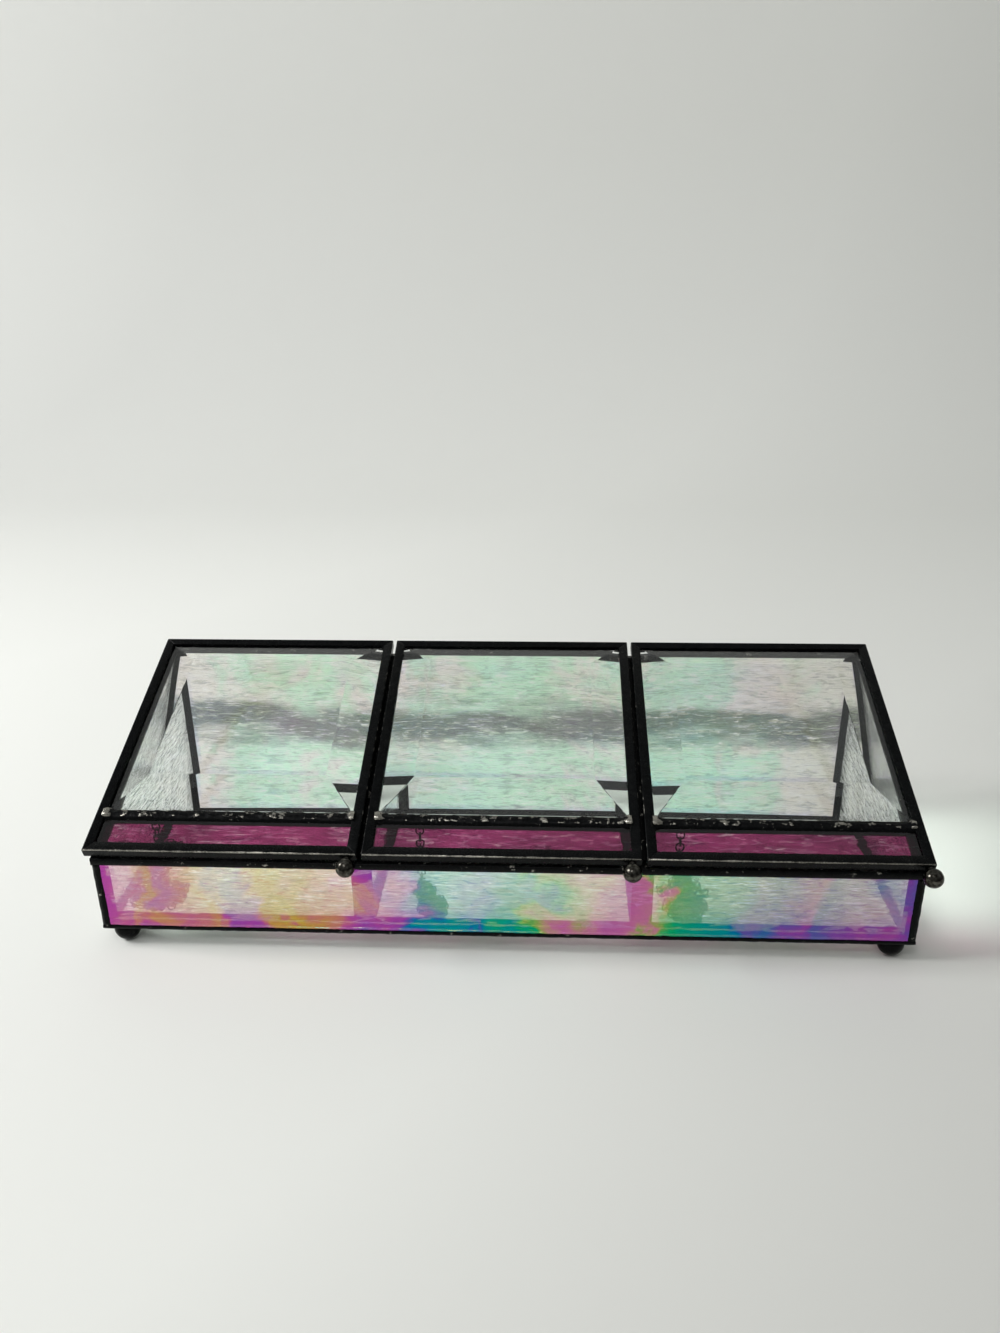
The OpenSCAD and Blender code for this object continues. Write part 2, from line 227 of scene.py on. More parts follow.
def clouds(tree, place, scale, detail=2, roughness=0.5, distortion=0):
    """A noise pattern read at a place."""
    node = add_node(tree, "ShaderNodeTexNoise")
    for key, value in (("Vector", place), ("Scale", scale), ("Detail", detail), ("Roughness", roughness),
                       ("Distortion", distortion)):
        feed(tree, node.inputs[key], value)
    return node.outputs["Fac"]


def ramp(tree, value, stops):
    """A colour read off a ramp with these (place, colour) stops."""
    node = add_node(tree, "ShaderNodeValToRGB")
    marks = node.color_ramp.elements
    for n, (place, colour) in enumerate(stops):
        mark = marks[n] if n < 2 else marks.new(place)
        mark.position = place
        mark.color = (*colour, 1)
    tree.links.new(value, node.inputs["Fac"])
    return node.outputs["Color"]


def mix_colours(tree, share, first, second, blend="MIX"):
    """The first colour with a share of the second mixed in."""
    node = add_node(tree, "ShaderNodeMix", data_type="RGBA", blend_type=blend)
    feed(tree, node.inputs["Factor"], share)
    feed(tree, node.inputs["A"], first)
    node.inputs["B"].default_value = (*second, 1)
    return node.outputs["Result"]


def start_material(name):
    """A material whose Principled shader is the only one on it."""
    material = bpy.data.materials.new(name)
    material.use_nodes = True
    tree = material.node_tree
    return material, tree, tree.nodes["Principled BSDF"]


def object_place(tree, stretch=(1, 1, 1)):
    """Object coordinates in millimetres, stretched for a pattern."""
    where = add_node(tree, "ShaderNodeTexCoord")
    fit = add_node(tree, "ShaderNodeMapping")
    fit.inputs["Scale"].default_value = [1 / (s * MM) for s in stretch]
    tree.links.new(where.outputs["Object"], fit.inputs["Vector"])
    return fit.outputs["Vector"]


def start_group(name, values, results, colours=()):
    """A shader node group that takes a place and these values, and gives these results and colours."""
    tree = bpy.data.node_groups.new(name, "ShaderNodeTree")
    face = tree.interface
    face.new_socket("Place", in_out="INPUT", socket_type="NodeSocketVector")
    for key, value in values.items():
        face.new_socket(key, in_out="INPUT", socket_type="NodeSocketFloat").default_value = value
    for key in colours:
        face.new_socket(key, in_out="OUTPUT", socket_type="NodeSocketColor")
    for key in results:
        face.new_socket(key, in_out="OUTPUT", socket_type="NodeSocketFloat")
    return tree, add_node(tree, "NodeGroupInput").outputs, add_node(tree, "NodeGroupOutput").inputs


def ripple_group():
    """Fine level ripples and pits in rolled glass: a height, a mask of painted shade along the ripples' ridges
    and pits, and a mask of painted highlights in their troughs.
    """
    tree, given, made = start_group("Rolled ripples", {"Ripple": 0.35, "Drift": 1.2, "Pits": 0.4},
                                    ("Height", "Painted shade", "Painted highlight"))
    wave = clouds(tree, given["Place"], 1, distortion=given["Drift"])
    cells = add_node(tree, "ShaderNodeTexVoronoi", feature="F1")
    cells.inputs["Scale"].default_value = 0.4
    tree.links.new(given["Place"], cells.inputs["Vector"])
    dots = spread(tree, cells.outputs["Distance"], 0.04, 0.13, 1, 0)
    pits = calculate(tree, "MULTIPLY", dots, given["Pits"])
    # Painted shade goes along the ridges and pits, and painted highlights go in the troughs.
    ridges = spread(tree, wave, 0.57, 0.63, interpolation_type="SMOOTHSTEP")
    painted_highlights = spread(tree, wave, 0.36, 0.42, 1, 0, interpolation_type="SMOOTHSTEP")
    waves = calculate(tree, "MULTIPLY", wave, given["Ripple"])
    tree.links.new(calculate(tree, "SUBTRACT", waves, pits), made["Height"])
    tree.links.new(calculate(tree, "MAXIMUM", ridges, pits), made["Painted shade"])
    tree.links.new(painted_highlights, made["Painted highlight"])
    return tree


rolled_ripples = ripple_group()


def raise_surface(tree, shader, height, depth):
    """Feeds a height to the shader as bump, whose depth is in millimetres."""
    bump = add_node(tree, "ShaderNodeBump")
    bump.inputs["Strength"].default_value = 1
    bump.inputs["Distance"].default_value = depth * MM
    tree.links.new(height, bump.inputs["Height"])
    tree.links.new(bump.outputs["Normal"], shader.inputs["Normal"])


def glass_surface(tree, shader, tint, place, ripple, drift, pits, depth, painted_light_strength, shade, ior=1.5):
    """Finishes a glass material: a tint darkened by painted shade along the ripples' ridges and pits and cleared
    to white by painted highlights in their troughs, fine ripples as bump, and light that passes through it to
    cast pale shadows of a shade."""
    group = add_node(tree, "ShaderNodeGroup", node_tree=rolled_ripples)
    for key, value in (("Place", place), ("Ripple", ripple), ("Drift", drift), ("Pits", pits)):
        feed(tree, group.inputs[key], value)
    raise_surface(tree, shader, group.outputs["Height"], depth)
    # Painted shade darkens the tint along the ripples' ridges and pits, and painted highlights clear it to white
    # in their troughs.
    streaks = calculate(tree, "MULTIPLY", group.outputs["Painted shade"], painted_light_strength)
    painted_highlights = calculate(tree, "MULTIPLY", group.outputs["Painted highlight"], min(1, 2 * painted_light_strength))
    darker = mix_colours(tree, streaks, tint, (0.3, 0.33, 0.32), "MULTIPLY")
    tree.links.new(mix_colours(tree, painted_highlights, darker, (1, 1, 1)), shader.inputs["Base Color"])
    shader.inputs["Transmission Weight"].default_value = 1
    shader.inputs["IOR"].default_value = ior
    path = add_node(tree, "ShaderNodeLightPath")
    through = add_node(tree, "ShaderNodeBsdfTransparent")
    through.inputs["Color"].default_value = (*shade, 1)
    mix = add_node(tree, "ShaderNodeMixShader")
    tree.links.new(path.outputs["Is Shadow Ray"], mix.inputs["Fac"])
    tree.links.new(shader.outputs["BSDF"], mix.inputs[1])
    tree.links.new(through.outputs["BSDF"], mix.inputs[2])
    tree.links.new(mix.outputs["Shader"], tree.nodes["Material Output"].inputs["Surface"])


# The coat's thickness in nanometres and the glass's tint, from a wall's left end (0) to its right end (1)
FILM_MOST = 400
FRONT_FILM = ((0, 208), (0.03, 206), (0.055, 189), (0.092, 204), (0.13, 190), (0.17, 214), (0.197, 212),
              (0.22, 183), (0.26, 192), (0.3, 194), (0.326, 208), (0.363, 214), (0.381, 226), (0.4, 238),
              (0.44, 243), (0.461, 224), (0.48, 238), (0.504, 248), (0.541, 237), (0.56, 264), (0.597, 292),
              (0.64, 312), (0.67, 300), (0.685, 262), (0.72, 250), (0.769, 238), (0.8, 221), (0.836, 226),
              (0.867, 211), (0.9, 222), (0.935, 211), (1, 219))
BEIGE, LILAC, MINT = (0.52, 0.6, 0.4), (0.66, 0.62, 0.6), (0.62, 0.7, 0.56)
ROSE, GREY, STRAW = (0.7, 0.6, 0.5), (0.52, 0.6, 0.27), (0.6, 0.56, 0.26)
FRONT_TINTS = ((0, ROSE), (0.08, BEIGE), (0.17, (0.58, 0.64, 0.34)), (0.26, BEIGE), (0.32, ROSE),
               (0.38, LILAC), (0.44, MINT), (0.5, LILAC), (0.56, MINT), (0.62, ROSE),
               (0.69, (0.6, 0.56, 0.42)), (0.78, GREY), (0.86, STRAW), (0.93, GREY), (1, MINT))
BACK_FILM = ((0, 318), (0.2, 296), (0.3, 330), (0.45, 300), (0.6, 296), (0.8, 328), (1, 300))
PALE_ROSE, PALE_MINT = (0.92, 0.89, 0.86), (0.68, 0.97, 0.78)
BACK_TINTS = ((0.03, PALE_ROSE), (0.07, PALE_ROSE), (0.15, PALE_MINT), (0.2, PALE_MINT), (0.28, PALE_ROSE),
              (0.35, PALE_ROSE), (0.43, PALE_MINT), (0.57, PALE_MINT), (0.64, PALE_ROSE), (0.71, PALE_MINT),
              (0.81, PALE_MINT), (0.9, PALE_ROSE))
BLACK, WHITE = (0, 0, 0), (1, 1, 1)

# How far the band of painted shadow wanders up the glass, in millimetres
PAINTED_SHADOW_WANDER = 26


def iridescent_glass(name, films, film_ior, film_drift, tints, patchy, ripple, fine, painted_light_strength, painted_shadow=0):
    """Rolled glass with a fired coat whose thickness drifts along it, and whose tint drifts with it. The last
    argument is the depth of a grey band of painted shadow, standing for the shadow of the lids' back edges on
    the table behind as it shows through the glass, which wanders along the middle of its height."""
    material, tree, shader = start_material(name)
    low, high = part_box("back_glass")
    where = object_place(tree)
    split = add_node(tree, "ShaderNodeSeparateXYZ")
    tree.links.new(where, split.inputs["Vector"])
    along = spread(tree, split.outputs["X"], low.x / MM, high.x / MM)
    swing = spread(tree, clouds(tree, where, 0.05, 5, 0.62, 0.6), 0.3, 0.7, -1, 1, clamp=False)
    film_place = calculate(tree, "MULTIPLY_ADD", swing, 0.045, along)
    film = ramp(tree, film_place, [(place, (thick / FILM_MOST,) * 3) for place, thick in films])
    thickness = calculate(tree, "MULTIPLY", film, FILM_MOST)
    drifting = calculate(tree, "MULTIPLY_ADD", swing, film_drift, thickness)
    tree.links.new(drifting, shader.inputs["Thin Film Thickness"])
    shader.inputs["Thin Film IOR"].default_value = film_ior
    tint = ramp(tree, calculate(tree, "MULTIPLY_ADD", swing, patchy, along), tints)
    # A wandering grey band of painted shadow across the middle of the glass's height dims the tint.
    drift = clouds(tree, object_place(tree, (40, 40, 9)), 1, 4)
    wander = calculate(tree, "MULTIPLY_ADD", drift, PAINTED_SHADOW_WANDER, split.outputs["Z"])
    height = spread(tree, wander, low.z / MM, high.z / MM + PAINTED_SHADOW_WANDER)
    band = ramp(tree, height, ((0.36, BLACK), (0.46, WHITE), (0.55, WHITE), (0.62, BLACK)))
    tint_with_painted_shadow = mix_colours(tree, calculate(tree, "MULTIPLY", band, painted_shadow), tint, (0.2, 0.235, 0.17))
    shader.inputs["Roughness"].default_value = 0.01
    glass_surface(tree, shader, tint_with_painted_shadow, object_place(tree, fine), ripple, drift=1.1, pits=0.8, depth=0.05,
                  painted_light_strength=painted_light_strength, shade=(0.88, 0.9, 0.88), ior=1.36)
    return material


front_material = iridescent_glass("iridescent front glass", FRONT_FILM, film_ior=2.6, film_drift=7,
                                  tints=FRONT_TINTS, patchy=0.06, ripple=0.8, fine=(7, 7, 1), painted_light_strength=0.75)
back_material = iridescent_glass("iridescent back glass", BACK_FILM, film_ior=1.9, film_drift=14,
                                 tints=BACK_TINTS, patchy=0.13, ripple=0.7, fine=(8, 8, 1.2), painted_light_strength=0.5,
                                 painted_shadow=0.9)

front_pane = rippled_pane("front_glass", 1, {0: 1.2, 2: 0.4}, ripple=0.13, long=7, short=1.5, seed=3)
add_piece(front_pane, "front_glass_rolled", "base", front_material, ["front_glass"])
back_pane = rippled_pane("back_glass", 1, {0: 1.6, 2: 0.7}, ripple=0.15, long=11, short=2.4, seed=8)
add_piece(back_pane, "back_glass_rolled", "base", back_material, ["back_glass"])

# ---- Side walls and dividers ----
# The two ends are clear glass with a coarse hammered face, and the two dividers are nearly smooth. All
# four are cut to the lids' slope.

CLEAR_GREEN, NEARLY_CLEAR = (0.93, 0.97, 0.95), (0.98, 0.99, 0.98)
hammered, tree, shader = start_material("hammered side glass")
haze = ramp(tree, clouds(tree, object_place(tree), 0.25, 4), ((0.35, CLEAR_GREEN), (0.65, (0.98, 1, 0.99))))
shader.inputs["Roughness"].default_value = 0.03
glass_surface(tree, shader, haze, object_place(tree, (3, 9, 0.9)), ripple=1, drift=1.4, pits=0.3, depth=0.12,
              painted_light_strength=0.8, shade=(0.9, 0.94, 0.91))
for side, seed in (("left", 21), ("right", 34)):
    pane = rippled_pane(f"{side}_side_glass", 0, {1: 0.9, 2: 0.6}, ripple=0.12, long=7, short=1.8, seed=seed)
    add_piece(pane, f"{side}_side_glass_hammered", "base", hammered, [f"{side}_side_glass"])

divider_material, tree, shader = start_material("divider glass")
tone = ramp(tree, clouds(tree, object_place(tree), 0.06, 3), ((0.3, CLEAR_GREEN), (0.7, NEARLY_CLEAR)))
shader.inputs["Roughness"].default_value = 0.01
glass_surface(tree, shader, tone, object_place(tree, (3, 12, 3)), ripple=0.4, drift=0.8, pits=0.15,
              depth=0.15, painted_light_strength=0.08, shade=(0.93, 0.96, 0.94))
for side, seed in (("left", 55), ("right", 61)):
    pane = rippled_pane(f"{side}_divider", 0, {1: 1.4, 2: 1.4}, ripple=0.05, long=9, short=4, seed=seed)
    add_piece(pane, f"{side}_divider_glass", "base", divider_material, [f"{side}_divider"])

# ---- Floor of the box ----
# One clear float pane lies between the walls, with a faint waviness and a pale green edge.

floor_material, tree, shader = start_material("clear floor glass")
tone = ramp(tree, clouds(tree, object_place(tree), 0.03), ((0.35, (0.94, 0.97, 0.96)), (0.65, NEARLY_CLEAR)))
shader.inputs["Roughness"].default_value = 0.01
glass_surface(tree, shader, tone, object_place(tree, (14, 6, 6)), ripple=0.3, drift=0.6, pits=0.1, depth=0.08,
              painted_light_strength=0.05, shade=(0.8, 0.83, 0.81))
pane = rippled_pane("bottom_glass", 2, {0: 3, 1: 2.5}, ripple=0.03, long=22, short=9, seed=70)
add_piece(pane, "bottom_glass_pane", "base", floor_material, ["bottom_glass"])

# ---- Solder seams ----
# Each joint is foil with solder run over it by hand, so a seam swells and dips along its length. A black
# patina covers it, with bright metal where it has worn off the crests.


def patina_group():
    """Black patina on solder: its colour, roughness, metal and fine grain."""
    tree, given, made = start_group("Black patina", {"Worn": 0.2, "Gloss": 0.5, "Crest": 0},
                                    ("Roughness", "Metal", "Height"), colours=("Colour",))
    mottle = clouds(tree, given["Place"], 0.9, 6, 0.65)
    grit = clouds(tree, given["Place"], 6, 3)
    edge = spread(tree, given["Worn"], 0, 1, 0.82, 0.42)
    raised = calculate(tree, "MULTIPLY_ADD", given["Crest"], 0.3, mottle)
    worn = calculate(tree, "MULTIPLY", calculate(tree, "SUBTRACT", raised, edge), 9, clamp=True)
    dark = ramp(tree, mottle, ((0.3, (0.001, 0.0013, 0.0015)), (0.55, (0.003, 0.0034, 0.0036)),
                               (0.8, (0.008, 0.008, 0.008))))
    rough = spread(tree, grit, 0.25, 0.75, 0.55, 0.8)
    tree.links.new(mix_colours(tree, worn, dark, (0.36, 0.345, 0.305)), made["Colour"])
    tree.links.new(calculate(tree, "SUBTRACT", rough, given["Gloss"], clamp=True), made["Roughness"])
    tree.links.new(worn, made["Metal"])
    tree.links.new(grit, made["Height"])
    return tree


black_patina = patina_group()


def patina_material(name, worn, gloss, depth, size=1):
    """Metal under black patina, which wears off the crests first; on the came those crests are the upper outer
    edges, where the bright metal is partly edge wear and partly a painted highlight. depth is its grain's and
    size its mottling's, in millimetres."""
    material, tree, shader = start_material(name)
    shader.inputs["Specular IOR Level"].default_value = 0.07
    group = add_node(tree, "ShaderNodeGroup", node_tree=black_patina)
    crest = add_node(tree, "ShaderNodeAttribute", attribute_name="crest").outputs["Fac"]
    for key, value in (("Place", object_place(tree, (size, size, size))), ("Worn", worn), ("Gloss", gloss),
                       ("Crest", crest)):
        feed(tree, group.inputs[key], value)
    for result, target in (("Colour", "Base Color"), ("Roughness", "Roughness"), ("Metal", "Metallic")):
        tree.links.new(group.outputs[result], shader.inputs[target])
    raise_surface(tree, shader, group.outputs["Height"], depth)
    return material


seam_material = patina_material("patina on solder seams", worn=0.3, gloss=0.42, depth=0.06, size=1.4)

panes = bmesh.new()
for node in ("front_glass", "back_glass", "bottom_glass", "left_side_glass", "right_side_glass",
             "left_divider", "right_divider"):
    panes.from_mesh(frame["nodes"][node].data)
glass_tree = BVHTree.FromBMesh(panes)
panes.free()

SEAM_LUMP, SEAM_LUMP_SIZE = 0.16 * MM, 3.2 * MM
HELD_BY_GLASS, CLEAR_OF_GLASS = 0.05 * MM, 0.4 * MM


def hand_soldered(node, steps, seed):
    """A seam cut into slices, rounded, and swelled and dipped where it lies clear of the glass. steps gives
    the axes that are sliced and how finely, in millimetres."""
    bm = node_shape(node)
    crest = bm.verts.layers.float.new("crest")
    for axis, step in steps.items():
        cut_across(bm, axis, step * MM)
    free = {}
    for v in bm.verts:
        near = glass_tree.find_nearest(v.co)[3]
        free[v] = min(1.0, max(0.0, (near - HELD_BY_GLASS) / (CLEAR_OF_GLASS - HELD_BY_GLASS)))
    loose = [v for v in bm.verts if free[v] > 0.6]
    for _ in range(2):
        bmesh.ops.smooth_vert(bm, verts=loose, factor=0.5, use_axis_x=True, use_axis_y=True, use_axis_z=True)
    bm.normal_update()
    for v in bm.verts:
        place = v.co / SEAM_LUMP_SIZE
        swell = noise.noise(place + Vector((seed, 0, 0)))
        swell += 0.5 * noise.noise(place * 2.3 + Vector((0, seed, 0)))
        v.co += v.normal * (SEAM_LUMP * (swell + 0.15) * free[v])
        v[crest] = swell * free[v]
    return bm


SEAMS = {"top_edge_seam": {0: 0.9, 1: 0.9}, "bottom_edge_seam": {0: 1, 1: 1}}
SEAMS |= {f"{side}_{end}_corner_seam": {2: 0.8} for side in ("left", "right") for end in ("front", "back")}
SEAMS |= {f"{side}_divider_seam": {1: 1, 2: 1} for side in ("left", "right")}
SEAMS |= {f"{side}_floor_seam": {0: 1.2, 1: 1.2} for side in ("left", "middle", "right")}
for number, (node, steps) in enumerate(SEAMS.items()):
    seam = hand_soldered(node, steps, 10 * number)
    add_piece(seam, f"{node}_soldered", "base", seam_material, [node], crease=60)

# ---- Foil round the floor and the dividers ----
# Copper foil tape wraps each pane's edge before it is soldered. It shows through the glass as a dark band.

foil_material = patina_material("foil seen through the glass", worn=0.1, gloss=0.2, depth=0.02, size=3)
FOIL_OVERLAP, FOIL_THICK = 2.2 * MM, 0.05 * MM


def foil_band(node, thin, name):
    """A band of foil round a pane's edges, folded over on to its two faces. thin is the axis through it."""
    bm = node_shape(node)
    bm.normal_update()
    broad = [f for f in bm.faces if abs(f.normal[thin]) > 0.9]
    bmesh.ops.inset_individual(bm, faces=broad, thickness=FOIL_OVERLAP, depth=0)
    broad = [f for f in bm.faces if abs(f.normal[thin]) > 0.9]
    largest = sorted(broad, key=lambda f: f.calc_area())[-2:]
    bmesh.ops.delete(bm, geom=largest, context="FACES")
    bmesh.ops.solidify(bm, geom=bm.faces[:], thickness=-FOIL_THICK)
    bmesh.ops.recalc_face_normals(bm, faces=bm.faces)
    add_piece(bm, name, "base", foil_material)


foil_band("bottom_glass", 2, "floor_foil")
for side in ("left", "right"):
    foil_band(f"{side}_divider", 0, f"{side}_divider_foil")

# ---- Ball feet ----
# Four balls of solder stand under the corners, a little lumpy and dressed flat where they rest.

ball_material = patina_material("patina on solder balls", worn=0.32, gloss=0.5, depth=0.04, size=1.2)


def lumpy_ball(node, lump, size, flat_to=-1):
    """A ball with lumps of this height and size, none below flat_to, the top of the flat that it rests on.
    All three are in millimetres."""
    bm = node_shape(node)
    bmesh.ops.subdivide_edges(bm, edges=bm.edges, cuts=1, use_grid_fill=True)
    bm.normal_update()
    for v in bm.verts:
        if v.co.z > flat_to * MM:
            v.co += v.normal * (lump * MM * noise.noise(v.co / (size * MM)))
    return bm


for side in ("left", "right"):
    for end in ("front", "back"):
        node = f"{side}_{end}_foot"
        ball = lumpy_ball(node, lump=0.12, size=3, flat_to=0.4)
        add_piece(ball, f"{node}_ball", "base", ball_material, [node])

# ---- Lid frames ----
# Each lid is framed in channel came, drawn zinc with a satin black finish, mitred at the corners. The
# leaves' edges are slightly rounded and the mitres show as fine lines.

came_material = patina_material("black drawn came", worn=0.3, gloss=0.42, depth=0.004, size=3)
LIDS = ("left", "middle", "right")
low_wall, high_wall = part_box("front_glass"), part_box("back_glass")
slope = math.atan2(high_wall[1].z - low_wall[1].z, high_wall[0].y - low_wall[0].y)
down_lid = Vector((0, -math.cos(slope), -math.sin(slope)))
lid_up = Vector((0, -math.sin(slope), math.cos(slope)))
across = Vector((1, 0, 0))
CAMES = {"front_rail": down_lid, "left_stile": -across, "back_rail": -down_lid, "right_stile": across}
# Bright metal along each came's upper outer edges, strongest on the front rail, is partly edge wear and partly a
# painted highlight where the rounded edge catches the light.
EDGE_WEAR_AND_HIGHLIGHT = {"front_rail": 5.2, "left_stile": 3.2, "back_rail": 3.2, "right_stile": 3.2}


def soften(bm, offset, least):
    """Rounds the edges that turn by this many degrees or more. offset is in millimetres."""
    sharp = [e for e in bm.edges if e.calc_face_angle(0) > math.radians(least)]
    bmesh.ops.bevel(bm, geom=sharp, offset=offset * MM, offset_type="OFFSET", segments=2, profile=0.5,
                    affect="EDGES", clamp_overlap=True, material=-1)


for side in LIDS:
    for part, outward in CAMES.items():
        node = f"{side}_{part}"
        bm = node_shape(node)
        crest = bm.verts.layers.float.new("crest")
        soften(bm, offset=0.24, least=30)
        bm.normal_update()
        for v in bm.verts:
            # Edges facing up and outward are bared: partly edge wear, partly painted highlight.
            v[crest] = EDGE_WEAR_AND_HIGHLIGHT[part] * max(0, v.normal.dot(lid_up)) * max(0, v.normal.dot(outward)) - 1
        add_piece(bm, f"{node}_came", body_of(node), came_material, [node], crease=50)

# ---- Bevelled panes ----
# The lids hold clear plate ground to wide polished bevels, whose edges are crisp and catch the light.

bevel_material, tree, shader = start_material("polished bevelled plate")
tone = ramp(tree, clouds(tree, object_place(tree), 0.02),
            ((0.3, (0.965, 0.985, 0.975)), (0.7, (0.985, 0.995, 0.99))))
shader.inputs["Roughness"].default_value = 0
glass_surface(tree, shader, tone, object_place(tree, (40, 40, 40)), ripple=0.2, drift=0.3, pits=0, depth=0.04,
              painted_light_strength=0, shade=(0.95, 0.97, 0.96))
for side in LIDS:
    node = f"{side}_bevel"
    bm = node_shape(node)
    soften(bm, offset=0.26, least=4)
    add_piece(bm, f"{node}_plate", body_of(node), bevel_material, [node], crease=3)

# ---- Coloured strips ----
# A strip of purple streaky glass runs along the front of each lid, with long darker and redder streaks.

strip_material, tree, shader = start_material("purple streaky glass")
streaks = clouds(tree, object_place(tree, (16, 4.5, 4.5)), 1, 3, 0.6, 0.8)
tone = ramp(tree, streaks, ((0.28, (0.1, 0.007, 0.04)), (0.45, (0.24, 0.021, 0.1)), (0.6, (0.29, 0.03, 0.12)),
                            (0.74, (0.37, 0.06, 0.18))))
shader.inputs["Roughness"].default_value = 0.01
glass_surface(tree, shader, tone, object_place(tree, (9, 2, 2)), ripple=0.5, drift=1.2, pits=0.3, depth=0.03,
              painted_light_strength=0.1, shade=(0.6, 0.3, 0.45))
for side in LIDS:
    node = f"{side}_strip"
    bm = node_shape(node)
    cut_across(bm, 0, 1.2 * MM)
    cut_across(bm, 1, 0.9 * MM)
    rim = rim_of(bm)
    bm.normal_update()
    for v in bm.verts:
        if v not in rim:
            place = Vector((v.co.x / 7, v.co.y / 2.5, v.co.z / 2.5)) / MM
            v.co += v.normal * (0.05 * MM * noise.noise(place))
    add_piece(bm, f"{node}_glass", body_of(node), strip_material, [node])

# ---- Soldered bars ----
# The bar between the strip and the pane is foil joined with a thick run of solder, lumpy and bright on its
# crests, with a blob at each end. Its eye, a loop of wire, holds the chain.

bar_material = patina_material("solder bar, worn bright", worn=0.42, gloss=0.5, depth=0.06, size=0.9)
BAR_TOP_FROM = 6.4 * MM
BAR_LUMP, END_BLOB, END_BLOB_LONG = 0.34 * MM, 1.1 * MM, 1.8 * MM
for number, side in enumerate(LIDS):
    node = f"{side}_bar"
    bm = node_shape(node)
    crest = bm.verts.layers.float.new("crest")
    cut_across(bm, 0, 0.45 * MM)
    bm.normal_update()
    low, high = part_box(node)
    for v in bm.verts:
        if v.normal.z > 0.2 and v.co.z > low.z + BAR_TOP_FROM:
            place = Vector((v.co.x / 2.6, v.co.y / 1.6, v.co.z / 1.6)) / MM + Vector((number * 9, 0, 0))
            lump = noise.noise(place) + 0.5 * noise.noise(place * 2.7)
            blob = math.exp(-(min(v.co.x - low.x, high.x - v.co.x) / END_BLOB_LONG) ** 2)
            v.co += v.normal * (BAR_LUMP * lump + END_BLOB * blob)
            v[crest] = 1.5 * lump + 1.5 * blob
    add_piece(bm, f"{node}_run", body_of(node), bar_material, [node], crease=60)

# ---- Knobs ----
# A ball of solder on a short neck stands in front of each lid's right corner. Handling keeps it bright, with
# darker brown tarnish in patches over it.

knob_material, tree, shader = start_material("handled solder knob")
tarnish = clouds(tree, object_place(tree), 0.7, 5)
tone = ramp(tree, tarnish, ((0.35, (0.012, 0.011, 0.009)), (0.5, (0.05, 0.047, 0.04)),
                            (0.68, (0.13, 0.125, 0.11))))
tree.links.new(tone, shader.inputs["Base Color"])
tree.links.new(spread(tree, tarnish, 0.3, 0.7, 0.3, 0.13), shader.inputs["Roughness"])
shader.inputs["Metallic"].default_value = 1
for side in LIDS:
    node = f"{side}_knob"
    ball = lumpy_ball(node, lump=0.06, size=1.8)
    add_piece(ball, f"{node}_ball", body_of(node), knob_material, [node])

# ---- Hinges ----
# A brass tube soldered along the back wall holds a rod, whose two legs are soldered up under the lid.

hinge_material = patina_material("patina on hinge brass", worn=0.2, gloss=0.4, depth=0.02, size=2)


def finish_node(node, material):
    """Gives a CAD node's own mesh a material."""
    materials = frame["nodes"][node].data.materials
    materials.clear()
    materials.append(material)


for side in LIDS:
    finish_node(f"{side}_hinge_tube", hinge_material)
    finish_node(f"{side}_hinge_rod", hinge_material)

# ---- Chains ----
# A fine cable chain of blackened wire hangs from each lid's eye into a heap on the floor. The links that are
# drawn up one by one as the lid opens lie in its middle, and the slack round them stays on the floor.

LINK_LONG, LINK_WIDE, WIRE, LINK_PITCH = 4 * MM, 3.4 * MM, 0.6 * MM, 2.7 * MM
chain_material = patina_material("blackened chain wire", worn=0.05, gloss=0.4, depth=0.01)


def only(kind, geometry):
    """The vertices or the edges among what an operator gives back."""
    return [g for g in geometry if isinstance(g, kind)]


def link_mesh():
    """One link in x and z: a round section swept round two half turns and two straight sides."""
    bm = bmesh.new()
    bend = (LINK_WIDE - WIRE) / 2
    straight = LINK_LONG - LINK_WIDE
    ring = bmesh.ops.create_circle(bm, segments=6, radius=WIRE / 2)
    bmesh.ops.translate(bm, verts=ring["verts"], vec=(bend, 0, straight / 2))
    edges = bm.edges[:]
    for way in (1, -1):
        turned = bmesh.ops.spin(bm, geom=edges, cent=(0, 0, way * straight / 2), axis=(0, -1, 0),
                                angle=math.pi, steps=4)
        edges = only(bmesh.types.BMEdge, turned["geom_last"])
        side = bmesh.ops.extrude_edge_only(bm, edges=edges)["geom"]
        bmesh.ops.translate(bm, verts=only(bmesh.types.BMVert, side), vec=(0, 0, -way * straight))
        edges = only(bmesh.types.BMEdge, side)
    bmesh.ops.remove_doubles(bm, verts=bm.verts, dist=0.02 * MM)
    bmesh.ops.recalc_face_normals(bm, faces=bm.faces)
    mesh = bpy.data.meshes.new("link")
    bm.to_mesh(mesh)
    bm.free()
    return mesh


link = link_mesh()
floor_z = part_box("bottom_glass")[1].z
front_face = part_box("front_glass")[1].y
LINKS_DRAWN, LINKS_SLACK, SLACK_PITCH = 61, 320, 1.5 * MM
LAST_LINK_HIGH, DROP_FOOT = 5.2 * MM, 20 * MM
HEAP_REACH, LINK_OFF_GLASS = 11.5 * MM, 2.3 * MM
HEAPS = {"left": {"wide": 10, "deep": 2.5, "high": 13, "lean": 1},
         "middle": {"wide": 4.5, "deep": 2.2, "high": 4, "lean": 5},
         "right": {"wide": 5.5, "deep": 2.2, "high": 9.5, "lean": 2}}


